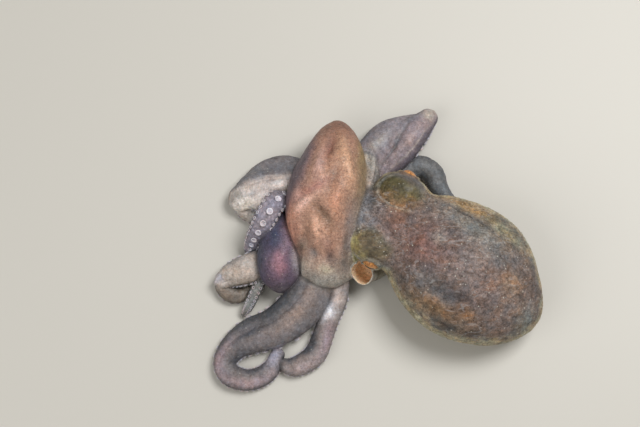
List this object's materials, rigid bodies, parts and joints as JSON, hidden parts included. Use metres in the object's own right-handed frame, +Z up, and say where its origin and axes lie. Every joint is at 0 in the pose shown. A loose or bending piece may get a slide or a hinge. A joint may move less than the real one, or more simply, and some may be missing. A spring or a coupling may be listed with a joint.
{
  "type": "octopus",
  "caption": "Still, life-size octopus at rest on its belly, oval mantle behind, eyes raised, the arm web swollen into a dome and the arms curled and folded round it",
  "frame": {"origin": "the middle of the animal's footprint, at the level of the floor it rests on", "axes": "+Z is up. The head points to -X. The mantle's tip points to +X and -Y. +Y is the animal's right side"},
  "size_m": [0.1596, 0.14, 0.0441],
  "materials": {
    "mantle": "wet skin, brown and mauve with orange-brown patches and pale specks",
    "head": "wet skin, brown, olive round the eyes",
    "web_dome": "wet stretched skin, salmon and orange-brown",
    "web_collar": "wet stretched skin, grey, finely wrinkled",
    "web_lobe": "wet skin, dark indigo over maroon",
    "arm": "wet skin, grey-mauve",
    "arm_pale": "wet skin, pale",
    "siphon": "wet skin, orange inside with a pale rim",
    "eye": "copper eye with a dark slit pupil under a clear cornea"
  },
  "bodies": {
    "root": {"eye_right": "eye", "eye_left": "eye", "head": "head", "mantle": "mantle", "siphon": "siphon", "web_dome": "web_dome", "web_collar": "web_collar", "web_lobe": "web_lobe", "arm_right1_base": "arm", "arm_right1_middle": "arm", "arm_right1_tip": "arm", "arm_left3_base": "arm", "arm_left3_middle": "arm", "arm_left3_bend": "arm", "arm_left3_tip": "arm", "arm_left4_base": "arm", "arm_left4_middle": "arm", "arm_left4_tip": "arm", "arm_left1_base": "arm", "arm_left1_tip": "arm", "arm_left2_base": "arm_pale", "arm_left2_bend": "arm_pale", "arm_left2_tip": "arm_pale", "arm_right2_base": "arm_pale", "arm_right2_bend": "arm_pale", "arm_right2_tip": "arm_pale", "arm_right3_base": "arm", "arm_right3_bend": "arm", "arm_right3_tip": "arm", "arm_right4_base": "arm", "arm_right4_tip": "arm", "web_right": "arm", "web_front": "arm"}
  },
  "joints": []
}
